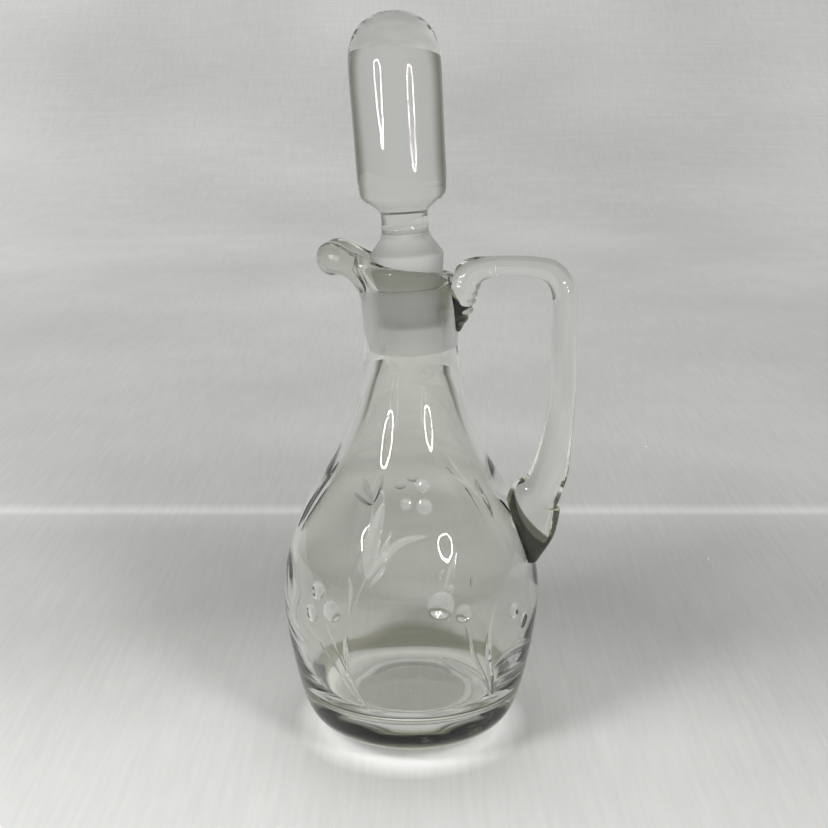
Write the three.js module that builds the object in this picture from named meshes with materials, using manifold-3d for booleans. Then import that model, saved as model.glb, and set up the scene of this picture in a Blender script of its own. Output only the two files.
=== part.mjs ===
// A handled glass decanter: a blown vessel with a pulled pouring lip, an applied
// solid glass handle and a solid ground-glass stopper that lifts out of its socket.
// Millimetres, +Z up. The origin is the centre of the foot, +X points to the handle
// and -X to the pouring lip.
import * as THREE from "three";
import { mergeVertices } from "three/addons/utils/BufferGeometryUtils.js";
import Module from "manifold-3d";

// ---- driving dimensions -------------------------------------------------------

const GAP = 0.3; // clearance between pieces that touch on the real object

// Vessel, outside: [radius, height] of the points that the smooth wall runs through.
const OUTER_WALL = [
  [25.3, 0], [29.6, 2.1], [34.6, 5.2], [39.1, 9], [42.1, 15.5], [44.7, 25.5], [47.3, 40],
  [48.9, 57], [46.6, 72], [39.5, 92], [27.4, 112], [19.9, 132], [17.3, 152], [18.1, 167],
];
// Vessel, inside: from the thick floor up to the lower end of the ground socket.
const FLOOR_Z = 17;
const INNER_WALL = [
  [29, 17.2], [35, 19.2], [39, 24], [41.6, 31], [43.8, 41], [45.6, 56],
  [42.4, 76], [29.6, 101], [17.8, 123], [11.8, 143],
];

// Ground joint: a cone that leans a little towards the pouring lip.
const SEAT_LEAN = THREE.MathUtils.degToRad(3.7);
const SEAT_PIVOT_Z = 161; // where the leaning axis crosses the vessel's own axis
const SEAT_TAPER = Math.tan(THREE.MathUtils.degToRad(4.5));
const SHOULDER_S = 25; // distance of the plug's shoulder above the pivot, along the axis
const SHOULDER_RADIUS = 13.3;
const PLUG_END_S = -0.8;
const SOCKET_TOP_S = 13;
const SOCKET_END_S = -10.5;

// Mouth: the rim is a rounded bead that swells into the pouring lip at -X.
// It is hand-worked: the -Y side stands higher and the lip turns a little that way.
const RIM = { r: 15.3, shift: 1, z: 177, bead: 2.2, tilt: 1.85 };
const LIP = { turn: 8.5, reach: 12.6, bead: 3.1, halfAngle: 29.3, power: 4.7 };
const LIP_LIFT = { height: 9.3, halfAngle: 36, power: 2.2 };
const LIP_GROOVE = { depth: 4.2, halfAngle: 9.6 };

// Handle: stations along the rod, [x, z, half thickness in the XZ plane, half width in Y].
const HANDLE_STATIONS = [
  [17.7, 158.4, 0.9, 1.6], [18.3, 166, 4.3, 4.8], [19.2, 173.5, 5.5, 5.8],
  [22.3, 179.6, 5.3, 5.1], [28.8, 182.2, 3.9, 4.1], [45, 182.9, 3.8, 4],
  [52, 181.3, 4.2, 4.2], [55.8, 175.8, 4.4, 4.4], [56.5, 160, 4.5, 4.5],
  [56.6, 136, 4.7, 4.7], [54.8, 120, 5.6, 5.1], [52.8, 108.5, 6.8, 5.3],
  [50, 101.2, 7.6, 5.4], [47.4, 96.5, 9.9, 5.5], [46.2, 84, 8.9, 5.3],
  [45.6, 72.6, 3.4, 3.4],
];
const HANDLE_STEPS = 58;
const HANDLE_SIDES = 16;

// Stopper above the plug, in its own frame: radius and distance above the seat pivot.
const STOPPER_THROAT = [
  [10.8, 28.3], [9.1, 30.8], [8.5, 33.8], [8.4, 37], [8.6, 39.7], [9.8, 41.3],
  [12.6, 43.2], [14.8, 45.2], [15.6, 47.6],
];
const FINIAL_WALL = [[15.9, 52], [16, 60], [16.1, 69], [16.25, 78], [16.35, 85.5]];
const DOME_HEIGHT = 23.5;
const DOME_POWER = 3.4; // above 2, so the wall bends into the dome with no visible line
const DOME_STEPS = 12;

const TURN_STEPS = 64; // facets around the vessel
const STOPPER_STEPS = 48;

// ---- helpers ------------------------------------------------------------------

// Points at even steps along a smooth curve through [radius, height] stations.
function smoothWall(stations, steps) {
  const curve = new THREE.SplineCurve(stations.map(([r, z]) => new THREE.Vector2(r, z)));
  return curve.getPoints(steps).map((p) => [p.x, p.y]);
}

// A closed skin from rings of equal length that runs from one pole to the other.
function skinFromRings(first, rings, last) {
  const sides = rings[0].length;
  const points = [first, ...rings.flat(), last];
  const at = (ring, side) => 1 + ring * sides + (side % sides);
  const faces = [];
  for (let side = 0; side < sides; side += 1) {
    faces.push(0, at(0, side + 1), at(0, side));
    for (let ring = 0; ring + 1 < rings.length; ring += 1) {
      faces.push(at(ring, side), at(ring, side + 1), at(ring + 1, side + 1));
      faces.push(at(ring, side), at(ring + 1, side + 1), at(ring + 1, side));
    }
    faces.push(at(rings.length - 1, side), at(rings.length - 1, side + 1), points.length - 1);
  }
  const geometry = new THREE.BufferGeometry();
  geometry.setAttribute("position", new THREE.Float32BufferAttribute(points.flat(), 3));
  geometry.setIndex(faces);
  geometry.computeVertexNormals();
  return geometry;
}

function ring(steps, pointAt) {
  return Array.from({ length: steps }, (_, i) => pointAt((2 * Math.PI * i) / steps));
}

// Cubic from a to b that leaves along da and arrives along db.
function hermite(a, da, b, db, t) {
  const h = [2 * t ** 3 - 3 * t ** 2 + 1, t ** 3 - 2 * t ** 2 + t];
  const k = [3 * t ** 2 - 2 * t ** 3, t ** 3 - t ** 2];
  return [0, 1].map((i) => h[0] * a[i] + h[1] * da[i] + k[0] * b[i] + k[1] * db[i]);
}

// ---- mouth and pouring lip ----------------------------------------------------

// Centre and size of the rim's bead at an angle from +X, with its share of lip.
function rimAt(angle) {
  const degrees = THREE.MathUtils.radToDeg(angle) - LIP.turn;
  const away = Math.abs(THREE.MathUtils.euclideanModulo(degrees, 360) - 180);
  const tilt = -RIM.tilt * Math.sin(angle);
  const lip = 1 / (1 + (away / LIP.halfAngle) ** LIP.power);
  const lift = LIP_LIFT.height / (1 + (away / LIP_LIFT.halfAngle) ** LIP_LIFT.power);
  const groove = LIP_GROOVE.depth * Math.exp(-((away / LIP_GROOVE.halfAngle) ** 2));
  return {
    lip,
    r: RIM.r - RIM.shift * Math.cos(angle) + LIP.reach * lip,
    z: RIM.z + tilt + lift - groove,
    bead: RIM.bead + LIP.bead * lip,
  };
}

const beadStart = (rim) => THREE.MathUtils.degToRad(-100 * rim.lip);
const beadEnd = (rim) => THREE.MathUtils.degToRad(172 - 58 * rim.lip);

function onBead(rim, turn) {
  return [rim.r + rim.bead * Math.cos(turn), rim.z + rim.bead * Math.sin(turn)];
}

// The neck flares from its top circle into the underside of the bead.
function flareAt(angle, t) {
  const rim = rimAt(angle);
  const start = beadStart(rim);
  const pull = 7 + 8 * rim.lip;
  const arrive = [-Math.sin(start) * pull, Math.cos(start) * pull];
  return hermite(OUTER_WALL.at(-1), [0, pull], onBead(rim, start), arrive, t);
}

// From the bead the inside falls to the top of the ground socket.
function throatAt(angle, t) {
  const rim = rimAt(angle);
  const end = beadEnd(rim);
  const pull = 2 + 8 * rim.lip;
  const leave = [-Math.sin(end) * pull, Math.cos(end) * pull];
  const [x, y, z] = onSeat(seatRadius(SOCKET_TOP_S) + GAP, SOCKET_TOP_S, angle);
  return hermite(onBead(rim, end), leave, [Math.hypot(x, y), z], [-2, -pull], t);
}

function beadAt(angle, t) {
  const rim = rimAt(angle);
  return onBead(rim, beadStart(rim) + (beadEnd(rim) - beadStart(rim)) * t);
}

// ---- ground joint -------------------------------------------------------------

const seatRadius = (s) => SHOULDER_RADIUS + (s - SHOULDER_S) * SEAT_TAPER;

// A point of a circle about the leaning axis, s above the pivot.
function onSeat(radius, s, angle) {
  const across = radius * Math.cos(angle);
  return [
    across * Math.cos(SEAT_LEAN) - s * Math.sin(SEAT_LEAN),
    radius * Math.sin(angle),
    SEAT_PIVOT_Z + across * Math.sin(SEAT_LEAN) + s * Math.cos(SEAT_LEAN),
  ];
}

// ---- pieces -------------------------------------------------------------------

const upright = (angle, [r, z]) => [r * Math.cos(angle), r * Math.sin(angle), z];
const roundRing = (rz) => ring(TURN_STEPS, (angle) => upright(angle, rz));

function outerRings() {
  const wall = smoothWall(OUTER_WALL, 39);
  const rings = wall.slice(0, -1).map(roundRing);
  for (let i = 0; i < 5; i += 1) {
    rings.push(ring(TURN_STEPS, (angle) => upright(angle, flareAt(angle, i / 5))));
  }
  for (let i = 0; i <= 6; i += 1) {
    rings.push(ring(TURN_STEPS, (angle) => upright(angle, beadAt(angle, i / 6))));
  }
  return rings;
}

function innerRings() {
  const throat = [0.3, 0.6].map((t) =>
    ring(TURN_STEPS, (angle) => upright(angle, throatAt(angle, t))),
  );
  const socket = [SOCKET_TOP_S, 0, SOCKET_END_S].map((s) =>
    ring(TURN_STEPS, (angle) => onSeat(seatRadius(s) + GAP, s, angle)),
  );
  const wall = smoothWall(INNER_WALL, 27).reverse();
  return [...throat, ...socket, ...wall.map(roundRing)];
}

function vesselGeometry() {
  return skinFromRings([0, 0, 0], [...outerRings(), ...innerRings()], [0, 0, FLOOR_Z]);
}

// The rod as elliptic rings square to a smooth centre line in the XZ plane.
function handleGeometry() {
  const centre = new THREE.CatmullRomCurve3(
    HANDLE_STATIONS.map(([x, z]) => new THREE.Vector3(x, 0, z)),
    false,
    "centripetal",
  );
  const sizes = new THREE.CatmullRomCurve3(
    HANDLE_STATIONS.map(([, , thick, wide]) => new THREE.Vector3(thick, wide, 0)),
    false,
    "centripetal",
  );
  const rings = [];
  for (let i = 0; i <= HANDLE_STEPS; i += 1) {
    const t = i / HANDLE_STEPS;
    const p = centre.getPoint(t);
    const ahead = centre.getTangent(t);
    const size = sizes.getPoint(t);
    rings.push(
      ring(HANDLE_SIDES, (angle) => {
        const out = size.x * Math.cos(angle);
        return [p.x + ahead.z * out, size.y * Math.sin(angle), p.z - ahead.x * out];
      }),
    );
  }
  const ends = [centre.getPoint(0), centre.getPoint(1)].map((p) => p.toArray());
  return skinFromRings(ends[0], rings, ends[1]);
}

// What the handle may not enter: the vessel's outside, larger by the gap.
function vesselBlockGeometry() {
  const rings = outerRings().map((points) =>
    points.map(([x, y, z]) => {
      const grow = 1 + (GAP * 1.2) / Math.hypot(x, y);
      return [x * grow, y * grow, z + (z > OUTER_WALL.at(-1)[1] ? GAP : 0)];
    }),
  );
  return skinFromRings([0, 0, 0], rings, [0, 0, RIM.z + 2 * RIM.bead]);
}

function stopperGeometry() {
  const finialTop = FINIAL_WALL.at(-1);
  const dome = Array.from({ length: DOME_STEPS }, (_, i) => {
    const turn = (Math.PI / 2) * ((i + 1) / (DOME_STEPS + 1));
    const rise = Math.sin(turn);
    return [finialTop[0] * Math.sqrt(1 - rise ** DOME_POWER), finialTop[1] + DOME_HEIGHT * rise];
  });
  const profile = [
    [seatRadius(PLUG_END_S) - 1.2, PLUG_END_S],
    [seatRadius(PLUG_END_S + 1), PLUG_END_S + 1],
    [seatRadius(8), 8],
    [seatRadius(SOCKET_TOP_S), SOCKET_TOP_S],
    [SHOULDER_RADIUS, SHOULDER_S],
    [SHOULDER_RADIUS - 0.5, SHOULDER_S + 0.9],
    ...smoothWall(STOPPER_THROAT, 16),
    ...FINIAL_WALL,
    ...dome,
  ];
  const rings = profile.map(([r, s]) => ring(STOPPER_STEPS, (angle) => onSeat(r, s, angle)));
  const top = onSeat(0, finialTop[1] + DOME_HEIGHT, 0);
  return skinFromRings(onSeat(0, PLUG_END_S, 0), rings, top);
}

// ---- boolean cut of the handle's ends -----------------------------------------

const wasm = await Module();
wasm.setup();

function toSolid(geometry) {
  const bare = new THREE.BufferGeometry();
  bare.setAttribute("position", geometry.getAttribute("position"));
  bare.setIndex(geometry.getIndex());
  const merged = mergeVertices(bare, 1e-4);
  return new wasm.Manifold(
    new wasm.Mesh({
      numProp: 3,
      vertProperties: merged.attributes.position.array,
      triVerts: new Uint32Array(merged.index.array),
    }),
  );
}

function toGeometry(solid) {
  const mesh = solid.getMesh();
  const points = [];
  for (let i = 0; i < mesh.numVert; i += 1) {
    points.push(...mesh.vertProperties.subarray(i * mesh.numProp, i * mesh.numProp + 3));
  }
  const geometry = new THREE.BufferGeometry();
  geometry.setAttribute("position", new THREE.Float32BufferAttribute(points, 3));
  geometry.setIndex([...mesh.triVerts]);
  geometry.computeVertexNormals();
  return geometry;
}

// The rod less the vessel; the largest body that stays is the handle.
function fittedHandle() {
  const cut = toSolid(handleGeometry()).subtract(toSolid(vesselBlockGeometry()));
  const bodies = cut.decompose().sort((a, b) => b.volume() - a.volume());
  return toGeometry(bodies[0]);
}

// ---- the decanter -------------------------------------------------------------

function clearGlass() {
  return new THREE.MeshStandardMaterial({
    color: 0xd9dcd6,
    roughness: 0.03,
    metalness: 0,
    transparent: true,
    opacity: 0.35,
  });
}

const decanter = new THREE.Group();
for (const [name, geometry] of [
  ["vessel", vesselGeometry()],
  ["handle", fittedHandle()],
  ["stopper", stopperGeometry()],
]) {
  const mesh = new THREE.Mesh(geometry, clearGlass());
  mesh.name = name;
  decanter.add(mesh);
}

export default decanter;
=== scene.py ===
"""A decanter of clear glass with a cut leaf and berry pattern, on pale paper under two ring lamps.

Shapes are worked out in millimetres in the CAD frame (+Z up, +X to the handle, -X to the lip) and
become metres when a mesh is made.
"""

import math

import bmesh
import bpy
import numpy as np
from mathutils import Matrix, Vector


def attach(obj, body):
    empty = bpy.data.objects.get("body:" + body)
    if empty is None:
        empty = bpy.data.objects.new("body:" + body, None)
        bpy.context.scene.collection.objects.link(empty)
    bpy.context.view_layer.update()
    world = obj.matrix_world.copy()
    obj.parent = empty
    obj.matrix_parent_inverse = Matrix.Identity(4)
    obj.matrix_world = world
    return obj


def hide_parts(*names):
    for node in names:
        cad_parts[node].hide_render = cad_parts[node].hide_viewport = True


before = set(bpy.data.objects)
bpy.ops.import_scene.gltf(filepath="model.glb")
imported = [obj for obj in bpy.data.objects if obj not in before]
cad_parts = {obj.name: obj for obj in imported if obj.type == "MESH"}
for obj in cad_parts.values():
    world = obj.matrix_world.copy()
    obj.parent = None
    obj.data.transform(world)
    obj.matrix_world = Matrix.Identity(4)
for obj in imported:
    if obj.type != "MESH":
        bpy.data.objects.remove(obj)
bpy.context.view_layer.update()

MM = 0.001

# ---- sizes of the vessel, as in the CAD ------------------------------------------------------

OUTER_WALL = [
    (25.3, 0), (29.6, 2.1), (34.6, 5.2), (39.1, 9), (42.1, 15.5), (44.7, 25.5), (47.3, 40), (48.9, 57),
    (46.6, 72), (39.5, 92), (27.4, 112), (19.9, 132), (17.3, 152), (18.1, 167),
]
INNER_WALL = [
    (29, 17.2), (35, 19.2), (39, 24), (41.6, 31), (43.8, 41), (45.6, 56),
    (42.4, 76), (29.6, 101), (17.8, 123), (11.8, 143),
]
FLOOR_Z = 17
FLOOR_DISH = 0.1  # the inner floor's edge stands this much above its middle
FLOOR_RINGS = (22, 15, 8)
FOOT_RING = (22.5, 24)  # the foot stands on this ring; inside it the base is slightly hollow
FOOT_HOLLOW = 0.9
HOLLOW_RINGS = (6, 12, 17, 20.5)
BLOWN_WAVES = [(0.12, 2, 19), (0.07, 5, -11)]  # depth, waves round the wall, height of one radian

# The ground joint's axis leans to the lip; places on it are distances s above its pivot.
SEAT_LEAN = math.radians(3.7)
SEAT_PIVOT_Z = 161
SEAT_TAPER = math.tan(math.radians(4.5))
SHOULDER_S = 25
SHOULDER_RADIUS = 13.3
PLUG_END_S = -0.8
SOCKET_TOP_S = 13
SOCKET_END_S = -10.5
SOCKET_GAP = 0.3

# The rim is a rounded bead that swells into the pouring lip; pairs are (away from the lip, at it).
RIM_RADIUS, RIM_SHIFT, RIM_Z, RIM_BEAD, RIM_TILT = 15.3, 1, 177, 2.2, 1.85
BEAD_START, BEAD_END = (0, -100), (172, 114)  # where the bead's section starts and ends, in degrees
FLARE_PULL, THROAT_PULL = (7, 15), (2, 10)  # how far the walls under the bead keep its direction
THROAT_DRAW_IN = 2
LIP_TURN, LIP_REACH, LIP_BEAD, LIP_HALF_ANGLE, LIP_POWER = 8.5, 12.6, 3.1, 29.3, 4.7
LIFT_HEIGHT, LIFT_HALF_ANGLE, LIFT_POWER = 9.3, 36, 2.2
GROOVE_DEPTH, GROOVE_HALF_ANGLE = 4.2, 9.6

# ---- the handle: x, z, half thickness, half width --------------------------------------------

HANDLE_STATIONS = [
    (17.7, 158.4, 0.9, 1.6), (18.3, 166, 4.3, 4.8), (19.2, 173.5, 5.5, 5.8),
    (22.3, 179.6, 5.3, 5.1), (28.8, 182.2, 3.9, 4.1), (45, 182.9, 3.8, 4),
    (52, 181.3, 4.2, 4.2), (55.8, 175.8, 4.4, 4.4), (56.5, 160, 4.5, 4.5),
    (56.6, 136, 4.7, 4.7), (54.8, 120, 5.6, 5.1), (52.8, 108.5, 6.8, 5.3),
    (50, 101.2, 7.6, 5.4), (47.4, 96.5, 9.9, 5.5), (46.2, 84, 8.9, 5.3),
    (45.6, 72.6, 3.4, 3.4),
]
MELT_CENTRE, MELT_RADIUS, MELT_TOP_Z = (67, 103), 26.5, 101  # outside this circle (x, z) the rod is a gob, painted dark as shade
HANDLE_BITE = 1.2  # how deep the melted ends of the handle reach into the wall
CRIMP_TOP_Z, CRIMP_LOW_Z, CRIMP_PITCH, CRIMP_DEPTH = 176, 159, 3.6, 0.45
TAIL_MAX_X = 26  # the crimped tail is nearer the neck than this
SEAM_LIFT = 0.1  # gap between the handle's melted face and the wall's

# ---- the stopper above its plug: radius and distance above the seat's pivot -------------------

STOPPER_THROAT = [
    (10.8, 28.3), (9.1, 30.8), (8.5, 33.8), (8.4, 37), (8.6, 39.7), (9.8, 41.3), (12.6, 43.2),
    (14.8, 45.2), (15.6, 47.6),
]
FINIAL_START = (15.65, 49.4)
FINIAL_WALL = [(15.9, 52), (16.1, 69), (16.35, 85.5)]
DOME_HEIGHT = 23.5
DOME_POWER = 3.4  # above 2, so that the wall bends into the dome gradually
GROUND_END_S = 32  # the grinding stops part way up the throat
PLUG_CONE = (1, 24.7)  # from and to these distances above the pivot the plug is a plain cone
PLUG_EDGE = [(-1.2, 0), (-0.4, 0.35), (0, 1)]  # the plug's rounded end, from its full radius and end
SHOULDER_EDGE = [(-0.12, 0.2), (-0.45, 0.7), (-0.6, 0.9)]  # the same for its shoulder

# ---- the cut pattern: points as (angle from +X in degrees, height), with the cut's half width --

CUT_LEAVES = [
    # the spray on the front: one broad leaf, a curved one and thin ones from one root
    ([(-94.5, 78), (-94.5, 85), (-93, 93), (-91, 102)], 2.6),
    ([(-94, 77), (-90, 83), (-83, 88), (-76, 91), (-65, 92)], 1.5),
    ([(-94, 77), (-90, 83.5), (-84, 94)], 0.8),
    ([(-93, 74), (-89, 79), (-86, 82)], 0.8),
    ([(-103, 77), (-101, 71), (-101, 64)], 0.9),
    ([(-102, 57), (-103, 48), (-103, 39)], 1.0),
    # the fan on the right, from a root low on the wall
    ([(-33, 27), (-35, 35), (-38, 44), (-39, 57), (-34, 66)], 1.2),
    ([(-61, 49), (-52, 44), (-42, 37), (-33, 28)], 1.9),
    ([(-35, 40), (-22, 43), (6, 38)], 1.6),
    ([(-34, 33), (-20, 33), (4, 29)], 1.5),
    ([(-52, 86), (-56, 80), (-60, 73)], 0.9),
    # below the handle and under the neck
    ([(-25, 108), (-24, 94)], 1.5),
    ([(-43, 116), (-31, 105), (-24, 94)], 0.7),
    ([(-45, 110), (-34, 106), (-27, 100)], 0.7),
    # the left shoulder
    ([(-143, 110), (-147, 99), (-150, 89), (-155, 83)], 1.8),
    ([(-150, 100), (-152, 91), (-155, 83)], 1.4),
    ([(-166, 64), (-158, 56), (-148, 52)], 1.5),
    ([(-170, 52), (-158, 44), (-140, 38)], 1.6),
    # the flower on the back, three pointed petals
    ([(129, 71), (137, 77), (144, 82)], 2.2),
    ([(129, 71), (134, 81), (139, 91)], 2.0),
    ([(129, 71), (126, 82), (126, 93)], 2.2),
    ([(81, 99), (72, 85), (61, 73)], 0.9),
    ([(73, 47), (72, 39)], 0.9),
]
CUT_STEMS = [
    ([(-116, 64), (-108, 51), (-102, 39), (-94, 25)], 0.45),
    ([(-126, 56), (-117, 50), (-109, 42), (-99, 30)], 0.45),
    ([(-94.5, 78), (-97, 72), (-99, 66)], 0.45),
    ([(-51, 62), (-46, 48), (-37, 34), (-33, 27)], 0.45),
    ([(129, 71), (133, 58), (140, 44)], 0.45),
]
CUT_BERRIES = [
    (-119, 69, 3.4), (-121.5, 60, 3.4), (-110, 63.5, 4.0),
    (-61, 69, 4.9), (-51, 65, 3.2), (-56, 74, 1.6),
    (-66, 107.5, 2.7), (-66, 101, 2.9), (-77, 102, 2.2),
    (-24, 60, 3.0), (-16, 54, 3.0),
    (104, 88, 3.0), (112, 82, 3.0),
]
LEAF_SLOPE = 0.42  # depth of a mitred leaf over its half width
STEM_SLOPE = 0.6
BERRY_SLOPE = 0.24
LEAF_TIP = 0.02  # keeps a leaf's width above nothing at its points
STEM_TAPER = 0.6  # share of a stem's width that is lost towards its ends
MITRED, DISHED = 1, 2  # the power that a cut's depth falls off with
SPLIT_ZONE = (15, 125)  # heights between which the wall is split near the cuts
PRESS_ZONE = (12, 130)  # heights between which the wall is set to its exact shape
CUT_MARGIN = 1.4  # the wall is split finely this far beyond a cut
CUT_REACH = 45  # no cut reaches further than this from its own middle
LEAST_DEPTH = 0.01  # less than this isn't a cut

# ---- how finely the glass is meshed ----------------------------------------------------------

VESSEL_SIDES = 180
OUTER_STEPS, FLARE_STEPS, BEAD_STEPS = 120, 14, 16
THROAT_STEPS, SOCKET_STEPS, INNER_STEPS = 12, 12, 84
HANDLE_SIDES, HANDLE_STEPS = 56, 260
STOPPER_SIDES, PLUG_STEPS, NECK_STEPS, FINIAL_STEPS, DOME_STEPS = 144, 30, 56, 64, 34
CUT_STEPS = 14
CUT_SPLITS = 4  # each mesh edge near a cut is split this many times
SHARP_ANGLE = math.radians(38)

# ---- the studio ------------------------------------------------------------------------------

CAMERA_AZIMUTH = math.radians(16)
CAMERA_DISTANCE, CAMERA_HEIGHT, CAMERA_ASIDE = 483, 265, 1.1
CAMERA_PITCH = math.radians(16.1)
CAMERA_LENS, CAMERA_SENSOR = 58.7, 36
LAMPS = [(-43, 340, 238), (34, 400, 238)]  # degrees from the camera's side, distance, height
LAMP_RADIUS, LAMP_TUBE, LAMP_SIDES, LAMP_TUBE_SIDES, LAMP_GLOW = 50, 2.6, 64, 8, 90
LAMP_AIM, KEY_AIM = (0, 0, 130), (0, 0, 50)
KEY_SIZE, KEY_POWER = 0.12, 1  # across in metres, watts
KEY_RISE = 1.3  # a key light's height over its ring lamp's
OVERHEAD_SIZE, OVERHEAD_POWER = 0.7, 3.8
OVERHEAD_BEHIND, OVERHEAD_HEIGHT = 150, 1100
FLOOR_RADII = (0.0005, 0.3, 1.3)  # the floor's rings in metres
SWEEP_RADIUS, SWEEP_TOP = 1.6, 4  # the backdrop's curve up from the floor's edge, and its top
SWEEP_STEPS, SHEET_SIDES = 20, 128
WALL_TABLE_STEPS = 3000  # how finely the wall's radius is tabled by height

CLEAR, GROUND, SEAM, CUT = 0, 1, 2, 3  # material slots of the vessel; the stopper has the first two
HANDLE_SEAM = 1  # the handle's second slot
HANDLE_MARK = 4  # marks the handle's faces while the two bodies are joined


# ---- curves and skins ------------------------------------------------------------------------

def smooth_curve(stations, steps, evenness=0.0):
    """Points at even steps on a Catmull-Rom curve; evenness 0.5 makes it centripetal."""
    points = np.array(stations, float)
    points = np.vstack([2 * points[0] - points[1], points, 2 * points[-1] - points[-2]])
    spans = len(stations) - 1
    place = np.linspace(0, spans, steps + 1)
    span = np.minimum(place.astype(int), spans - 1)
    t = (place - span)[:, None]
    a, b, c, d = (points[span + i] for i in range(4))
    before, during, after = (
        np.maximum(np.linalg.norm(q - p, axis=1, keepdims=True), 1e-6) ** evenness
        for p, q in ((a, b), (b, c), (c, d))
    )
    leave = ((b - a) / before - (c - a) / (before + during) + (c - b) / during) * during
    arrive = ((c - b) / during - (d - b) / (during + after) + (d - c) / after) * during
    return (
        (2 * b - 2 * c + leave + arrive) * t**3
        + (-3 * b + 3 * c - 2 * leave - arrive) * t**2
        + leave * t
        + b
    )


def hermite(a, da, b, db, t):
    """Cubic from a to b that leaves along da and arrives along db."""
    return (
        (2 * t**3 - 3 * t**2 + 1) * a
        + (t**3 - 2 * t**2 + t) * da
        + (3 * t**2 - 2 * t**3) * b
        + (t**3 - t**2) * db
    )


def around(sides):
    """Even angles round a ring."""
    return np.arange(sides) * 2 * math.pi / sides


def upright(radius, height, angles):
    """A ring about the vertical axis; radius and height may vary round it."""
    radius = np.broadcast_to(radius, angles.shape)
    height = np.broadcast_to(height, angles.shape)
    return np.stack([radius * np.cos(angles), radius * np.sin(angles), height], axis=1)


def seat_radius(s):
    """Radius of the plug's cone, s above the pivot."""
    return SHOULDER_RADIUS + (s - SHOULDER_S) * SEAT_TAPER


def on_seat(radius, s, angles):
    """A ring about the ground joint's leaning axis, s above its pivot."""
    across = radius * np.cos(angles)
    return np.stack(
        [
            across * math.cos(SEAT_LEAN) - s * math.sin(SEAT_LEAN),
            radius * np.sin(angles),
            SEAT_PIVOT_Z + across * math.sin(SEAT_LEAN) + s * math.cos(SEAT_LEAN),
        ],
        axis=1,
    )


def add_object(name, data):
    """An object in the scene."""
    made = bpy.data.objects.new(name, data)
    bpy.context.scene.collection.objects.link(made)
    return made


def neighbours(sides):
    """Each place on a ring with the next one."""
    side = np.arange(sides)
    return list(zip(side, (side + 1) % sides))


def strip(low, high, sides):
    """The faces between two rings that start at the vertices low and high."""
    return [(low + a, low + b, high + b, high + a) for a, b in neighbours(sides)]


def skin(name, first, rings, last, bands):
    """A closed mesh from one pole to the other; bands gives the material of each strip of faces."""
    sides = len(rings[0])
    points = np.vstack([[first], *rings, [last]]) * MM
    end = len(points) - 1
    faces = [(0, 1 + b, 1 + a) for a, b in neighbours(sides)]
    marks = [bands[0]] * sides
    for row in range(len(rings) - 1):
        faces += strip(1 + row * sides, 1 + (row + 1) * sides, sides)
        marks += [bands[row]] * sides
    low = 1 + (len(rings) - 1) * sides
    faces += [(low + a, low + b, end) for a, b in neighbours(sides)]
    marks += [bands[-1]] * sides
    mesh = bpy.data.meshes.new(name)
    mesh.from_pydata(points.tolist(), [], faces)
    mesh.polygons.foreach_set("material_index", marks)
    mesh.update()
    return mesh


# ---- the vessel ------------------------------------------------------------------------------

def toward_lip(lip, pair):
    """A value that goes from the pair's first, away from the lip, to its second at the lip."""
    return pair[0] + (pair[1] - pair[0]) * lip


def rim_at(angles):
    """Share of lip round the rim, with the bead's centre, size, start and end there."""
    away = np.abs((np.degrees(angles) - LIP_TURN) % 360 - 180)
    lip = 1 / (1 + (away / LIP_HALF_ANGLE) ** LIP_POWER)
    lift = LIFT_HEIGHT / (1 + (away / LIFT_HALF_ANGLE) ** LIFT_POWER)
    groove = GROOVE_DEPTH * np.exp(-((away / GROOVE_HALF_ANGLE) ** 2))
    return {
        "lip": lip,
        "r": RIM_RADIUS - RIM_SHIFT * np.cos(angles) + LIP_REACH * lip,
        "z": RIM_Z - RIM_TILT * np.sin(angles) + lift - groove,
        "bead": RIM_BEAD + LIP_BEAD * lip,
        "start": np.radians(toward_lip(lip, BEAD_START)),
        "end": np.radians(toward_lip(lip, BEAD_END)),
    }


def on_bead(rim, turn):
    """Radius and height of a place on the bead's section."""
    return np.stack([rim["r"] + rim["bead"] * np.cos(turn), rim["z"] + rim["bead"] * np.sin(turn)])


def outer_rings(angles):
    """The foot, the wall, the flare under the rim and the rim's bead."""
    hollow = [
        upright(r, FOOT_HOLLOW * (1 - (r / FOOT_RING[0]) ** 2), angles)
        for r in HOLLOW_RINGS
    ]
    foot = [upright(r, 0, angles) for r in FOOT_RING]
    wall = [upright(r, z, angles) for r, z in smooth_curve(OUTER_WALL, OUTER_STEPS)]
    rim = rim_at(angles)
    pull = toward_lip(rim["lip"], FLARE_PULL)
    neck_top = np.array(OUTER_WALL[-1], float)[:, None]
    leave = np.stack([0 * pull, pull])
    arrive = np.stack([-np.sin(rim["start"]) * pull, np.cos(rim["start"]) * pull])
    flare = [
        upright(*hermite(neck_top, leave, on_bead(rim, rim["start"]), arrive, t), angles)
        for t in np.arange(1, FLARE_STEPS) / FLARE_STEPS
    ]
    bead = [
        upright(*on_bead(rim, rim["start"] + (rim["end"] - rim["start"]) * t), angles)
        for t in np.linspace(0, 1, BEAD_STEPS + 1)
    ]
    return hollow + foot + wall + flare + bead


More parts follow.
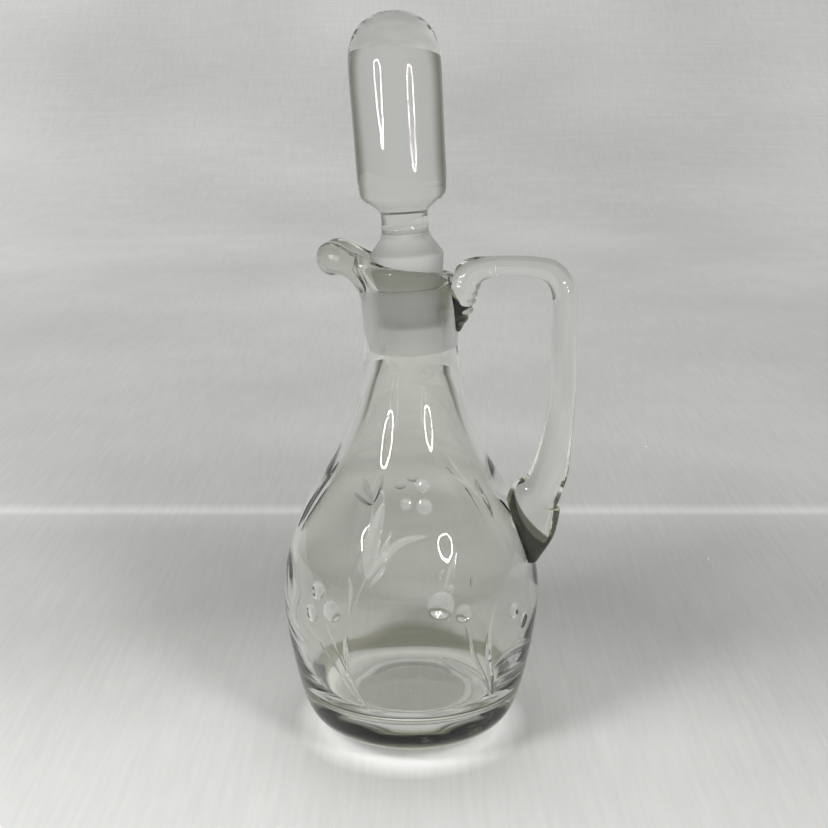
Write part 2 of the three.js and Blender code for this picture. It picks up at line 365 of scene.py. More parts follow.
def throat_rings(angles):
    """From the bead down to the top of the ground socket."""
    rim = rim_at(angles)
    pull = toward_lip(rim["lip"], THROAT_PULL)
    leave = np.stack([-np.sin(rim["end"]) * pull, np.cos(rim["end"]) * pull])
    top = on_seat(seat_radius(SOCKET_TOP_S) + SOCKET_GAP, SOCKET_TOP_S, angles)
    arrive = np.stack([0 * pull - THROAT_DRAW_IN, -pull])
    goal = np.stack([np.hypot(top[:, 0], top[:, 1]), top[:, 2]])
    return [
        upright(*hermite(on_bead(rim, rim["end"]), leave, goal, arrive, t), angles)
        for t in np.arange(1, THROAT_STEPS) / THROAT_STEPS
    ]


def socket_rings(angles):
    """The ground cone that the plug sits in."""
    return [
        on_seat(seat_radius(s) + SOCKET_GAP, s, angles)
        for s in np.linspace(SOCKET_TOP_S, SOCKET_END_S, SOCKET_STEPS + 1)
    ]


def cavity_rings(angles):
    """The inside from under the socket to the floor, with the slight waves of blown glass."""
    rings = []
    for r, z in smooth_curve(INNER_WALL, INNER_STEPS)[::-1]:
        wave = sum(depth * np.sin(count * angles + z / rise) for depth, count, rise in BLOWN_WAVES)
        rings.append(upright(r + wave, z, angles))
    edge = INNER_WALL[0][0]
    floor = [upright(r, FLOOR_Z + FLOOR_DISH * (r / edge) ** 2, angles) for r in FLOOR_RINGS]
    return rings + floor


def vessel_mesh():
    """The whole vessel as one skin, from under the foot round the rim to the inner floor."""
    angles = around(VESSEL_SIDES)
    outside, throat = outer_rings(angles), throat_rings(angles)
    socket, cavity = socket_rings(angles), cavity_rings(angles)
    bands = (
        [CLEAR] * (len(outside) + len(throat))
        + [GROUND] * (len(socket) - 1)
        + [CLEAR] * len(cavity)
    )
    rings = outside + throat + socket + cavity
    return skin("vessel", (0, 0, FOOT_HOLLOW), rings, (0, 0, FLOOR_Z), bands)


# ---- the cuts in the vessel's wall -----------------------------------------------------------

WALL_TABLE = smooth_curve(OUTER_WALL, WALL_TABLE_STEPS)
WALL_SLOPE = np.gradient(WALL_TABLE[:, 0], WALL_TABLE[:, 1])


def wall_radius(z):
    """Radius of the outer wall at a height."""
    return np.interp(z, WALL_TABLE[:, 1], WALL_TABLE[:, 0])


def on_wall(degrees, z):
    """The place on the outer wall at an angle and a height."""
    return upright(wall_radius(np.array([z])), z, np.radians([degrees]))[0]


def cut_lines():
    """Every cut as its centre line in space, its half width at each point, its slope and its power."""
    cuts = []
    for strokes, slope, pointed in ((CUT_LEAVES, LEAF_SLOPE, True), (CUT_STEMS, STEM_SLOPE, False)):
        for stations, half_width in strokes:
            line = smooth_curve(stations, CUT_STEPS)
            share = np.linspace(-1, 1, len(line))
            if pointed:
                taper = np.sqrt(np.maximum(1 - share**2, LEAF_TIP))
            else:
                taper = 1 - STEM_TAPER * share**2
            points = np.array([on_wall(degrees, z) for degrees, z in line])
            cuts.append((points, half_width * taper, slope, MITRED))
    for degrees, z, radius in CUT_BERRIES:
        centre = on_wall(degrees, z)
        dot = np.array([centre, centre + (0, 0, 0.01)])  # a line so short that it is a point
        cuts.append((dot, np.full(2, radius), BERRY_SLOPE, DISHED))
    return cuts


def nearest(points, line, widths):
    """Distance of each point to a line of segments, and the cut's half width there."""
    best = np.full(len(points), np.inf)
    width = np.full(len(points), widths[0])
    for start, end, w0, w1 in zip(line, line[1:], widths, widths[1:]):
        along = end - start
        share = np.clip((points - start) @ along / (along @ along), 0, 1)
        distance = np.linalg.norm(points - start - share[:, None] * along, axis=1)
        closer = distance < best
        best[closer] = distance[closer]
        width[closer] = (w0 + (w1 - w0) * share)[closer]
    return best, width


def cut_depth(points):
    """How deep the cuts go at each point of the wall: mitred leaves and stems, dished berries."""
    depth = np.zeros(len(points))
    for line, widths, slope, power in cut_lines():
        near = np.linalg.norm(points - line.mean(axis=0), axis=1) < CUT_REACH
        distance, width = nearest(points[near], line, widths)
        share = np.clip(distance / width, 0, 1)
        depth[near] = np.maximum(depth[near], slope * width * (1 - share**power))
    return depth


def outer_faces(bm, zone):
    """Faces that look outward and lie between two heights."""
    low, high = zone
    found = []
    for face in bm.faces:
        centre = face.calc_center_median()
        if low * MM < centre.z < high * MM and face.normal.xy.dot(centre.xy) > 0:
            found.append(face)
    return found


def engrave(mesh):
    """Splits the wall finely near the cuts, then presses them into it."""
    bm = bmesh.new()
    bm.from_mesh(mesh)
    outward = outer_faces(bm, SPLIT_ZONE)
    centres = np.array([f.calc_center_median() for f in outward]) / MM
    close = np.zeros(len(centres), bool)
    for line, widths, _slope, _power in cut_lines():
        distance, width = nearest(centres, line, widths)
        close |= distance < width + CUT_MARGIN
    edges = list(dict.fromkeys(e for f, wanted in zip(outward, close) if wanted for e in f.edges))
    bmesh.ops.subdivide_edges(bm, edges=edges, cuts=CUT_SPLITS, use_grid_fill=True)
    wall = dict.fromkeys(v for e in edges if e.is_valid for v in e.verts)
    wall.update(dict.fromkeys(v for f in outer_faces(bm, PRESS_ZONE) for v in f.verts))
    points = np.array([v.co for v in wall]) / MM
    angles = np.arctan2(points[:, 1], points[:, 0])
    points = upright(wall_radius(points[:, 2]), points[:, 2], angles)
    slope = np.interp(points[:, 2], WALL_TABLE[:, 1], WALL_SLOPE)
    normal = upright(1, -slope, angles) / np.hypot(1, slope)[:, None]
    depth = cut_depth(points)
    for vertex, place in zip(wall, (points - normal * depth[:, None]) * MM):
        vertex.co = place
    pressed = {v for v, deep in zip(wall, depth) if deep > LEAST_DEPTH}
    for face in bm.faces:
        if sum(v in pressed for v in face.verts) * 2 > len(face.verts):
            face.material_index = CUT
    bm.to_mesh(mesh)
    bm.free()


# ---- the handle ------------------------------------------------------------------------------

def kept_in_wall(ring):
    """Points of the handle that would pass through the wall stop just under its outer face."""
    away = np.hypot(ring[:, 0], ring[:, 1])
    deepest = wall_radius(ring[:, 2]) - HANDLE_BITE
    push = np.maximum(deepest / away, 1)
    return ring * np.stack([push, push, np.ones_like(push)], axis=1)


def handle_mesh():
    """A rod of elliptic rings; its upper tail is crimped into ridges on the outer side."""
    stations = smooth_curve(HANDLE_STATIONS, HANDLE_STEPS, evenness=0.5)
    ahead = np.gradient(stations[:, :2], axis=0)
    ahead /= np.linalg.norm(ahead, axis=1, keepdims=True)
    angles = around(HANDLE_SIDES)
    rings = []
    for (x, z, thick, wide), (go_x, go_z) in zip(stations, ahead):
        out = thick * np.cos(angles)
        in_tail = x < TAIL_MAX_X and CRIMP_LOW_Z < z < CRIMP_TOP_Z
        if in_tail:
            fade = math.sin(math.pi * (z - CRIMP_LOW_Z) / (CRIMP_TOP_Z - CRIMP_LOW_Z))
            ridge = math.cos(2 * math.pi * (z - CRIMP_LOW_Z) / CRIMP_PITCH)
            out += CRIMP_DEPTH * fade * ridge * np.maximum(np.cos(angles), 0)
        ring = np.stack([x + go_z * out, wide * np.sin(angles), z - go_x * out], axis=1)
        rings.append(kept_in_wall(ring))
    first, last = ((x, 0, z) for x, z in (stations[0, :2], stations[-1, :2]))
    return skin("handle", first, rings, last, [HANDLE_MARK] * (len(rings) - 1))


# ---- joining the handle to the vessel --------------------------------------------------------

JOIN_DISTANCE = 2e-6  # in metres: points of copied faces this close are one point


def joined(first, second, operation):
    """The exact union or overlap of two meshes as a new mesh; faces keep their marks."""
    pair = [add_object(mesh.name, mesh) for mesh in (first, second)]
    tool = pair[0].modifiers.new("join", "BOOLEAN")
    tool.operation = operation
    tool.object = pair[1]
    tool.solver = "EXACT"
    graph = bpy.context.evaluated_depsgraph_get()
    mesh = bpy.data.meshes.new_from_object(pair[0].evaluated_get(graph))
    for made in pair:
        bpy.data.objects.remove(made)
    return mesh


def add_faces(bm, mesh, wanted, slot=None, flip=False):
    """Copies the faces whose mark is wanted; they get the slot, or keep their mark without one."""
    made = []
    vertices = {}
    for polygon in mesh.polygons:
        if polygon.material_index not in wanted:
            continue
        corners = []
        for index in polygon.vertices:
            if index not in vertices:
                vertices[index] = bm.verts.new(mesh.vertices[index].co)
            corners.append(vertices[index])
        face = bm.faces.new(corners[::-1] if flip else corners)
        face.material_index = polygon.material_index if slot is None else slot
        made.append(face)
    return made


def part_from_wall(patch):
    """Lifts the inner points of the handle's patch slightly off the wall."""
    for vertex in {v for f in patch for v in f.verts}:
        if not vertex.is_boundary:
            vertex.co += Vector((vertex.co.x, vertex.co.y, 0)).normalized() * SEAM_LIFT * MM


def closed_mesh(name, bm):
    """Closes the joins between copied faces and makes a mesh of them."""
    bmesh.ops.remove_doubles(bm, verts=bm.verts, dist=JOIN_DISTANCE)
    mesh = bpy.data.meshes.new(name)
    bm.to_mesh(mesh)
    bm.free()
    return mesh


def fuse(vessel, handle):
    """Two closed meshes that meet in one shared patch where the handle is stuck to the wall."""
    wall_marks = (CLEAR, GROUND, CUT)
    whole = joined(vessel, handle, "UNION")
    shared = joined(vessel, handle, "INTERSECT")
    vessel_faces = bmesh.new()
    add_faces(vessel_faces, whole, wall_marks)
    add_faces(vessel_faces, shared, wall_marks, SEAM)
    handle_faces = bmesh.new()
    add_faces(handle_faces, whole, (HANDLE_MARK,), CLEAR)
    part_from_wall(add_faces(handle_faces, shared, wall_marks, HANDLE_SEAM, flip=True))
    return closed_mesh("vessel", vessel_faces), closed_mesh("handle", handle_faces)


# ---- the stopper -----------------------------------------------------------------------------

def stopper_profile():
    """Radius and distance above the pivot, from the plug's end to just below the dome's top."""
    end = seat_radius(PLUG_END_S)
    plug = [(end + out, PLUG_END_S + up) for out, up in PLUG_EDGE]
    plug += [(seat_radius(s), s) for s in np.linspace(*PLUG_CONE, PLUG_STEPS)]
    edge = [(SHOULDER_RADIUS + out, SHOULDER_S + up) for out, up in SHOULDER_EDGE]
    shoulder = edge[:-1]
    throat = smooth_curve([edge[-1]] + STOPPER_THROAT, NECK_STEPS)
    finial = smooth_curve([FINIAL_START] + FINIAL_WALL, FINIAL_STEPS, evenness=0.5)
    turn = np.linspace(0, math.pi / 2, DOME_STEPS)[1:-1]
    radius, start = FINIAL_WALL[-1]
    dome = np.stack(
        [radius * np.sqrt(1 - np.sin(turn) ** DOME_POWER), start + DOME_HEIGHT * np.sin(turn)], axis=1
    )
    return np.vstack([plug, shoulder, throat, finial, dome])


def stopper_mesh():
    """The solid stopper, turned about the ground joint's leaning axis."""
    angles = around(STOPPER_SIDES)
    profile = stopper_profile()
    rings = [on_seat(r, s, angles) for r, s in profile]
    bands = [GROUND if s < GROUND_END_S else CLEAR for _r, s in profile[:-1]]
    first = on_seat(0, PLUG_END_S, np.zeros(1))[0]
    last = on_seat(0, FINIAL_WALL[-1][1] + DOME_HEIGHT, np.zeros(1))[0]
    return skin("stopper", first, rings, last, bands)


# ---- materials -------------------------------------------------------------------------------

GLASS_IOR = 1.51
BODY_TINT = (0.966, 0.968, 0.94, 1)
# the thick foot's olive cast, darkened further as painted shade
FOOT_CAST_AND_SHADE_TINT = (0.31, 0.315, 0.2, 1)
FOOT_CAST_AND_SHADE_Z = (0.0168, 0.0198)  # the foot's olive cast and painted shade fade out between these heights, in metres
FOOT_CAST_AND_SHADE_RADIUS = (0.0375, 0.039)  # and inside these distances from the axis
RIM_TINT = (0.74, 0.745, 0.69, 1)
RIM_CAST_Z = (0.171, 0.177)  # heights between which the cast of the thick rim and lip comes in
# the gob's olive cast, darkened into painted shade
MELT_SHADE_TINT = (0.042, 0.044, 0.025, 1)
MELT_EDGE = 0.3  # the gob's painted shade comes in over this much either side of its circle
SEAM_TINT = (0.8, 0.81, 0.73, 1)
STOPPER_TINT = (0.92, 0.925, 0.9, 1)
SATIN_TINT = (0.96, 0.965, 0.95, 1)


def new_material(name):
    """A material with its node tree and its Principled node."""
    material = bpy.data.materials.new(name)
    material.use_nodes = True
    tree = material.node_tree
    return material, tree, tree.nodes["Principled BSDF"]


def add_node(tree, kind, **settings):
    """A node whose settings are its properties or, failing that, its inputs."""
    node = tree.nodes.new(kind)
    for key, value in settings.items():
        if hasattr(node, key):
            setattr(node, key, value)
        else:
            node.inputs[key].default_value = value
    return node


def rescale(tree, value, source, target=(0, 1), kind="LINEAR"):
    """Maps a value from one range to another and holds it beyond the ends."""
    node = add_node(tree, "ShaderNodeMapRange", interpolation_type=kind)
    for side, (low, high) in (("From", source), ("To", target)):
        node.inputs[side + " Min"].default_value = low
        node.inputs[side + " Max"].default_value = high
    tree.links.new(value, node.inputs["Value"])
    return node.outputs["Result"]


def step_over(tree, value, low, high):
    """0 at low and 1 at high, with a smooth change between them."""
    return rescale(tree, value, (low, high), kind="SMOOTHSTEP")


def multiply(tree, first, second):
    """The product of two values."""
    product = add_node(tree, "ShaderNodeMath", operation="MULTIPLY")
    tree.links.new(first, product.inputs[0])
    tree.links.new(second, product.inputs[1])
    return product.outputs["Value"]


def scaled(tree, vector, factor):
    """A vector or colour times a value."""
    node = add_node(tree, "ShaderNodeVectorMath", operation="SCALE")
    tree.links.new(vector, node.inputs[0])
    tree.links.new(factor, node.inputs["Scale"])
    return node.outputs["Vector"]


def stretched(tree, vector, scale):
    """A vector with each axis stretched."""
    stretch = add_node(tree, "ShaderNodeMapping")
    stretch.inputs["Scale"].default_value = scale
    tree.links.new(vector, stretch.inputs["Vector"])
    return stretch.outputs["Vector"]


def grain_at(tree, place, **settings):
    """Noise at a place."""
    noise = add_node(tree, "ShaderNodeTexNoise", **settings)
    tree.links.new(place, noise.inputs["Vector"])
    return noise.outputs["Fac"]


def emboss(tree, principled, height, strength, depth):
    """Bumps the surface by a height; the depth is in metres."""
    bump = add_node(tree, "ShaderNodeBump", Strength=strength, Distance=depth)
    tree.links.new(height, bump.inputs["Height"])
    tree.links.new(bump.outputs["Normal"], principled.inputs["Normal"])


def polished_glass(name, tint):
    """Glass with the faint ripple that blown and fire-polished surfaces keep."""
    material, tree, principled = new_material(name)
    principled.inputs["Transmission Weight"].default_value = 1
    principled.inputs["IOR"].default_value = GLASS_IOR
    principled.inputs["Roughness"].default_value = 0.004
    principled.inputs["Base Color"].default_value = tint
    place = add_node(tree, "ShaderNodeTexCoord").outputs["Object"]
    ripple = grain_at(tree, place, Scale=55, Detail=1, Roughness=0.4)
    emboss(tree, principled, ripple, 0.22, 0.0006)
    return material


def place_in_metres(tree):
    """The three coordinates of a place on the object."""
    split = add_node(tree, "ShaderNodeSeparateXYZ")
    tree.links.new(tree.nodes["Texture Coordinate"].outputs["Object"], split.inputs["Vector"])
    return split.outputs


def flat_distance(tree, place, first, second, centre):
    """Distance from a centre, seen along the axis that isn't named."""
    flat = add_node(tree, "ShaderNodeCombineXYZ")
    away = add_node(tree, "ShaderNodeVectorMath", operation="DISTANCE")
    away.inputs[1].default_value = centre
    for axis in (first, second):
        tree.links.new(place[axis], flat.inputs[axis])
    tree.links.new(flat.outputs["Vector"], away.inputs[0])
    return away.outputs["Value"]


def tint_where(tree, share, other):
    """Changes the glass's tint to other where share is 1; may be used more than once."""
    base = tree.nodes["Principled BSDF"].inputs["Base Color"]
    mixed = add_node(tree, "ShaderNodeMix", data_type="RGBA")
    mixed.inputs["B"].default_value = other
    if base.is_linked:
        tree.links.new(base.links[0].from_socket, mixed.inputs["A"])
    else:
        mixed.inputs["A"].default_value = base.default_value
    tree.links.new(share, mixed.inputs["Factor"])
    tree.links.new(mixed.outputs["Result"], base)


def body_glass():
    """Clear glass with an olive cast in the thick foot, darkened further as painted shade, and a fainter
    cast in the rim and lip.
    """
    material = polished_glass("body_glass", BODY_TINT)
    tree = material.node_tree
    place = place_in_metres(tree)
    from_axis = flat_distance(tree, place, "X", "Y", (0, 0, 0))
    outside = step_over(tree, from_axis, *FOOT_CAST_AND_SHADE_RADIUS)
    low_down = step_over(tree, place["Z"], *reversed(FOOT_CAST_AND_SHADE_Z))
    # the foot's olive cast with painted shade
    tint_where(tree, multiply(tree, outside, low_down), FOOT_CAST_AND_SHADE_TINT)
    tint_where(tree, step_over(tree, place["Z"], *RIM_CAST_Z), RIM_TINT)
    return material


def rod_glass():
    """Clear glass darkened to a deep olive where the end of the rod has melted into a gob: painted shade
    on the gob's own olive cast.
    """
    material = polished_glass("rod_glass", BODY_TINT)
    tree = material.node_tree
    place = place_in_metres(tree)
    centre = (MELT_CENTRE[0] * MM, 0, MELT_CENTRE[1] * MM)
    from_centre = flat_distance(tree, place, "X", "Z", centre)
    inner, outer = (MELT_RADIUS - MELT_EDGE) * MM, (MELT_RADIUS + MELT_EDGE) * MM
    beyond = step_over(tree, from_centre, inner, outer)
    below = step_over(tree, place["Z"], (MELT_TOP_Z + 1) * MM, (MELT_TOP_Z - 1) * MM)
    # painted shade of the melted gob
    tint_where(tree, multiply(tree, beyond, below), MELT_SHADE_TINT)
    return material


def satin_glass(name, clearness):
    """Glass with a matt skin, which scatters what it doesn't let through."""
    material, tree, principled = new_material(name)
    principled.inputs["Transmission Weight"].default_value = clearness
    principled.inputs["IOR"].default_value = GLASS_IOR
    principled.inputs["Base Color"].default_value = SATIN_TINT
    return material, tree, principled


def cut_glass():
    """The satin skin that the engraver's wheel leaves in a cut, with fine marks in it."""
    material, tree, principled = satin_glass("cut_glass", 0.89)
    place = add_node(tree, "ShaderNodeTexCoord").outputs["Object"]
    grain = grain_at(tree, place, Scale=900, Detail=3)
    tree.links.new(rescale(tree, grain, (0, 1), (0.03, 0.16)), principled.inputs["Roughness"])
    emboss(tree, principled, grain, 0.3, 0.00006)
    return material


def ground_glass():
    """The matt grey of a ground joint: a fine grain and faint rings from the grinding wheel."""
    material, tree, principled = satin_glass("ground_glass", 0.85)
    place = add_node(tree, "ShaderNodeTexCoord").outputs["Object"]
    rings = add_node(tree, "ShaderNodeTexWave", bands_direction="Z", Scale=190, Distortion=1.2)
    rings.inputs["Detail"].default_value = 2
    mixed = add_node(tree, "ShaderNodeMath", operation="MULTIPLY_ADD")
    mixed.inputs[1].default_value = 0.35  # the rings' share beside the grain
    tree.links.new(place, rings.inputs["Vector"])
    tree.links.new(rings.outputs["Fac"], mixed.inputs[0])
    tree.links.new(grain_at(tree, place, Scale=2600, Detail=2), mixed.inputs[2])
    matt = mixed.outputs["Value"]
    tree.links.new(rescale(tree, matt, (0, 1), (0.34, 0.5)), principled.inputs["Roughness"])
    emboss(tree, principled, matt, 0.35, 0.00008)
    return material


def seam_glass():
    """Where two bodies of glass are melted together, light passes straight on."""
    material, tree, principled = new_material("fused_seam")
    tree.nodes.remove(principled)
    through = add_node(tree, "ShaderNodeBsdfTransparent", Color=SEAM_TINT)
    tree.links.new(through.outputs["BSDF"], tree.nodes["Material Output"].inputs["Surface"])
    return material


PAPER_PAINTED_SHADES = [  # distance behind the decanter in metres, the paper's pale colour with painted shade: a painted shadow behind the decanter and light falling off to the front and far back
    (-0.3, 0.44), (-0.1, 0.59), (-0.02, 0.65), (0.1, 0.54), (0.2, 0.5), (0.5, 0.38),
]
PAPER_FOLD_HIGHLIGHT = [(0.2, 0), (0.229, 0.03), (0.237, 0.16), (0.25, 0.02), (0.3, 0)]  # a painted highlight along a fold that the flat floor doesn't have
PAPER_PAINTED_GLOWS = [  # distance from the decanter in metres, painted light that the paper gives off: a painted caustic under and round the foot and a painted glow of the far sweep
    (0, 0.14), (0.024, 0.17), (0.028, 0.85), (0.033, 0.75), (0.036, 0.25), (0.04, 0.05), (0.052, 0),
    (0.15, 0), (0.4, 0.24), (0.85, 0.33), (1.6, 0.38), (3, 0.5),
]
PAPER_SIDE, PAPER_SIDE_LIGHT = (-0.9, 0.1), (1.25, 1)  # metres across the view, painted light: the paper is lit more on the left
LINEN = [  # stretch along each axis, detail, darkest and lightest tone
    ((420, 22, 22), 2, (0.965, 1.035)),
    ((14, 14, 300), 2, (0.975, 1.025)),
    ((2.2, 2.2, 2.2), 1, (0.9, 1.1)),
]


def fill_ramp(shades, stops, colour_of):
    """Gives a colour ramp its stops, each a place from 0 to 1 and a value that has a colour."""
    elements = shades.color_ramp.elements
    for place, _value in stops[1:-1]:
        elements.new(place)
    for element, (place, value) in zip(elements, stops):
        element.position = place
        element.color = colour_of(value)


def paper_grey(shade):
    """A grey that is very slightly warm."""
    return shade, shade, shade * 0.985, 1


def ramp_over(tree, value, stops):
    """A grey that follows (place, shade) stops along a value."""
    low, high = stops[0][0], stops[-1][0]
    shades = add_node(tree, "ShaderNodeValToRGB")
    fill_ramp(shades, [((place - low) / (high - low), shade) for place, shade in stops], paper_grey)
    tree.links.new(rescale(tree, value, (low, high)), shades.inputs["Fac"])
    return shades.outputs["Color"]


def linen_tone(tree, place):
    """Slight light and dark of the paper: crossed threads on large soft clouds, as a factor near 1."""
    product = None
    for scale, detail, tones in LINEN:
        noise = grain_at(tree, stretched(tree, place, scale), Scale=1, Detail=detail)
        tone = rescale(tree, noise, (0.3, 0.7), tones)
        product = tone if product is None else multiply(tree, product, tone)
    return product


def painted_paper_glow(tree, behind, away):
    """Painted light given off by the paper: the caustic round the foot, the far paper's glow and, for the
    camera's own rays only, the fold's painted highlight.
    """
    path = add_node(tree, "ShaderNodeLightPath")
    glow = add_node(tree, "ShaderNodeVectorMath", operation="MULTIPLY_ADD")
    tree.links.new(ramp_over(tree, behind, PAPER_FOLD_HIGHLIGHT), glow.inputs[0])
    tree.links.new(path.outputs["Is Camera Ray"], glow.inputs[1])
    tree.links.new(ramp_over(tree, away, PAPER_PAINTED_GLOWS), glow.inputs[2])
    return glow.outputs["Vector"]


def paper():
    """Pale paper with a laid grain and painted light: painted shade with a painted shadow behind the
    decanter, a painted highlight along a fold, a painted caustic round the foot, more light on the left,
    and far off a painted glow like a lit sweep's.
    """
    material, tree, principled = new_material("paper")
    principled.inputs["Roughness"].default_value = 0.6
    # the paper's painted light is given off as emission
    principled.inputs["Emission Strength"].default_value = 1
    place = add_node(tree, "ShaderNodeNewGeometry").outputs["Position"]
    turn = add_node(tree, "ShaderNodeMapping")
    turn.inputs["Rotation"].default_value = (0, 0, -CAMERA_AZIMUTH)
    turned = turn.outputs["Vector"]
    split = add_node(tree, "ShaderNodeSeparateXYZ")
    away = add_node(tree, "ShaderNodeVectorMath", operation="LENGTH")
    tree.links.new(place, turn.inputs["Vector"])
    tree.links.new(place, away.inputs[0])
    tree.links.new(turned, split.inputs["Vector"])
    fibre = grain_at(tree, stretched(tree, turned, (900, 60, 200)), Scale=1, Detail=5, Roughness=0.6)
    emboss(tree, principled, fibre, 0.25, 0.0004)
    # painted light that makes the paper lighter on the left; the tone is this times the linen's own grain
    aside = rescale(tree, split.outputs["X"], PAPER_SIDE, PAPER_SIDE_LIGHT)
    tone = multiply(tree, linen_tone(tree, turned), aside)
    # painted shade of the paper, with a painted shadow behind the decanter
    shade = ramp_over(tree, split.outputs["Y"], PAPER_PAINTED_SHADES)
    glow = painted_paper_glow(tree, split.outputs["Y"], away.outputs["Value"])
    tree.links.new(scaled(tree, shade, tone), principled.inputs["Base Color"])
    tree.links.new(scaled(tree, glow, tone), principled.inputs["Emission Color"])
    return material


# ---- putting the pieces in the frame ---------------------------------------------------------

def place_piece(mesh, materials, body, node):
    """Makes an object of a mesh, on its body and in place of its CAD node."""
    piece = add_object(node + "_glass", mesh)
    for material in materials:
        mesh.materials.append(material)
    mesh.shade_smooth()
    mesh.set_sharp_from_angle(angle=SHARP_ANGLE)
    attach(piece, body)
    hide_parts(node)


def build_decanter():
    """The three pieces of glass; the materials come in the order of their slots."""
    vessel = vessel_mesh()
    engrave(vessel)
    vessel, handle = fuse(vessel, handle_mesh())
    ground = ground_glass()
    seam = seam_glass()
    place_piece(vessel, [body_glass(), ground, seam, cut_glass()], "decanter", "vessel")
    place_piece(handle, [rod_glass(), seam], "decanter", "handle")
    solid = polished_glass("solid_glass", STOPPER_TINT)
    place_piece(stopper_mesh(), [solid, ground], "stopper_body", "stopper")


# ---- the studio ------------------------------------------------------------------------------

def hide_from(thing, *rays):
    """Hides a thing from some kinds of ray."""
    for kind in rays:
        setattr(thing, "visible_" + kind, False)


def from_camera_side(degrees, distance, height):
    """A place round the decanter, by its angle from the camera's side."""
    turn = CAMERA_AZIMUTH + math.radians(degrees)
    return Vector((distance * math.sin(turn), -distance * math.cos(turn), height)) * MM


def make_camera():
    """The camera at the front, a little to the right and above."""
    data = bpy.data.cameras.new("camera")
    data.lens = CAMERA_LENS
    data.sensor_width = CAMERA_SENSOR
    data.clip_start, data.clip_end = 0.01, 30
    camera = add_object("camera", data)
    bpy.context.scene.camera = camera
    aside = Vector((math.cos(CAMERA_AZIMUTH), math.sin(CAMERA_AZIMUTH), 0)) * CAMERA_ASIDE * MM
    camera.location = from_camera_side(0, CAMERA_DISTANCE, CAMERA_HEIGHT) + aside
    camera.rotation_euler = (math.pi / 2 - CAMERA_PITCH, 0, CAMERA_AZIMUTH)


def turned_sheet(name, profile, material):
    """An open sheet turned about the vertical axis from a profile of (radius, height) in metres."""
    angles = around(SHEET_SIDES)
    rings = [upright(r, z, angles) for r, z in profile]
    faces = []
    for row in range(len(rings) - 1):
        faces += strip(row * SHEET_SIDES, (row + 1) * SHEET_SIDES, SHEET_SIDES)
    mesh = bpy.data.meshes.new(name)
    mesh.from_pydata(np.vstack(rings).tolist(), [], faces)
    mesh.flip_normals()
    mesh.shade_smooth()
    mesh.materials.append(material)
    sheet = add_object(name, mesh)
    return sheet


def make_stage():
    """A round floor of paper and, past it, a sweep that only the camera sees."""
    material = paper()
    turned_sheet("floor", [(radius, 0) for radius in FLOOR_RADII], material)
    edge = FLOOR_RADII[-1]
    turn = np.linspace(0, math.pi / 2, SWEEP_STEPS)
    curve = [(edge + SWEEP_RADIUS * math.sin(a), SWEEP_RADIUS - SWEEP_RADIUS * math.cos(a)) for a in turn]
    backdrop = turned_sheet("backdrop", curve + [(edge + SWEEP_RADIUS, SWEEP_TOP)], material)
    hide_from(backdrop, "diffuse", "glossy", "transmission", "shadow", "volume_scatter")


def lamp_mesh(name):
    """A thin ring tube that lies flat about the origin."""
    angles = around(LAMP_SIDES)
    rings = [
        upright(LAMP_RADIUS + LAMP_TUBE * math.cos(a), LAMP_TUBE * math.sin(a), angles)
        for a in around(LAMP_TUBE_SIDES)
    ]
    faces = []
    for row in range(LAMP_TUBE_SIDES):
        faces += strip(row * LAMP_SIDES, (row + 1) % LAMP_TUBE_SIDES * LAMP_SIDES, LAMP_SIDES)
    mesh = bpy.data.meshes.new(name)
    mesh.from_pydata((np.vstack(rings) * MM).tolist(), [], faces)
    return mesh


def lamp_glow():
    """The white light of the lamps' tubes, which shows only in reflections."""
    material, tree, principled = new_material("lamp")
    tree.nodes.remove(principled)
    glow = add_node(tree, "ShaderNodeEmission", Strength=LAMP_GLOW)
    tree.links.new(glow.outputs["Emission"], tree.nodes["Material Output"].inputs["Surface"])
    material.cycles.emission_sampling = "NONE"
    return material


def point_at(thing, aim):
    """Turns a lamp or a light to a place."""
    thing.rotation_euler = (Vector(aim) * MM - thing.location).to_track_quat("-Z", "Y").to_euler()


def make_ring_lamps():
    """Two thin ring lamps beside the camera, there to be reflected in the glass."""
    material = lamp_glow()
    for number, place in enumerate(LAMPS):
        mesh = lamp_mesh(f"lamp_{number}")
        mesh.materials.append(material)
        lamp = add_object(f"lamp_{number}", mesh)
        lamp.location = from_camera_side(*place)
        point_at(lamp, LAMP_AIM)
        hide_from(lamp, "camera", "diffuse", "shadow")


def area_light(name, place, aim, size, power):
    """A round light that shows in no reflection and through no glass."""
    data = bpy.data.lights.new(name, "AREA")
    data.shape = "DISK"
    data.size = size
    data.energy = power
    light = add_object(name, data)
    light.location = place
    point_at(light, aim)
    hide_from(light, "glossy", "transmission")


def make_lights():
    """A small key light above each ring lamp and one large soft light overhead."""
    for number, (degrees, distance, height) in enumerate(LAMPS):
        place = from_camera_side(degrees, distance, height * KEY_RISE)
        area_light(f"key_{number}", place, KEY_AIM, KEY_SIZE, KEY_POWER)
    place = from_camera_side(180, OVERHEAD_BEHIND, OVERHEAD_HEIGHT)
    area_light("overhead", place, (0, 0, 0), OVERHEAD_SIZE, OVERHEAD_POWER)


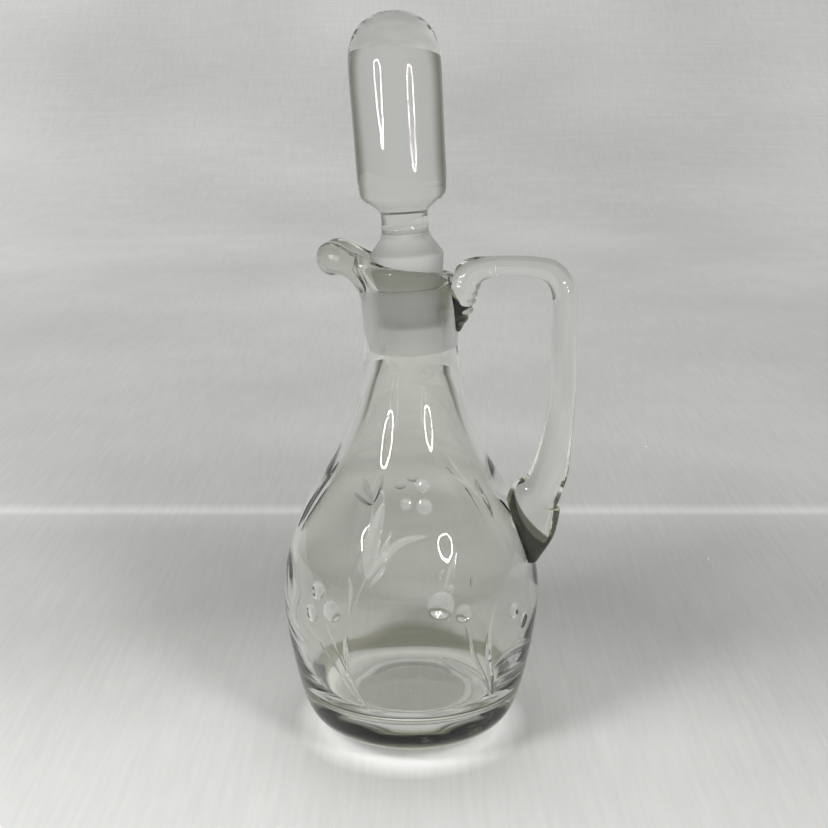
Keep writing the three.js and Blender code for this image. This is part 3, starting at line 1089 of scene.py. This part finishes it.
WORLD_STOPS = [  # from straight behind the decanter, 0, to straight behind the camera, 1
    (0, 0.53), (0.1, 0.5), (0.17, 0.3), (0.26, 0.12), (0.5, 0.07), (0.82, 0.07), (0.92, 0.26), (1, 0.34),
]
WORLD_TILT = -0.25  # the bright patch behind is a little above the horizon
ROOM_TONE = (0.6, 0.6, 0.59, 1)


def world_grey(value):
    """A faintly green grey; the darker it is, the less blue it has."""
    return value, value * 1.01, value * (0.8 + 0.36 * value), 1


def make_world():
    """Soft light, bright behind the decanter and dark beside it; the camera itself sees a pale room."""
    world = bpy.data.worlds.new("studio")
    bpy.context.scene.world = world
    world.use_nodes = True
    tree = world.node_tree
    direction = add_node(tree, "ShaderNodeTexCoord")
    toward = add_node(tree, "ShaderNodeVectorMath", operation="DOT_PRODUCT")
    toward.inputs[1].default_value = (math.sin(CAMERA_AZIMUTH), -math.cos(CAMERA_AZIMUTH), WORLD_TILT)
    shades = add_node(tree, "ShaderNodeValToRGB")
    fill_ramp(shades, WORLD_STOPS, world_grey)
    path = add_node(tree, "ShaderNodeLightPath")
    seen = add_node(tree, "ShaderNodeMix", data_type="RGBA")
    seen.inputs["B"].default_value = ROOM_TONE
    tree.links.new(direction.outputs["Generated"], toward.inputs[0])
    tree.links.new(rescale(tree, toward.outputs["Value"], (-1, 1)), shades.inputs["Fac"])
    tree.links.new(shades.outputs["Color"], seen.inputs["A"])
    tree.links.new(path.outputs["Is Camera Ray"], seen.inputs["Factor"])
    tree.links.new(seen.outputs["Result"], tree.nodes["Background"].inputs["Color"])


def set_light_paths():
    """Enough bounces for light to pass the nested walls of glass."""
    scene = bpy.context.scene
    scene.view_settings.view_transform = "Standard"
    scene.cycles.max_bounces = 28
    scene.cycles.transmission_bounces = 28
    scene.cycles.glossy_bounces = 8
    scene.cycles.transparent_max_bounces = 16
    scene.cycles.blur_glossy = 0.3
    scene.cycles.sample_clamp_indirect = 6


make_camera()
build_decanter()
make_stage()
make_ring_lamps()
make_lights()
make_world()
set_light_paths()
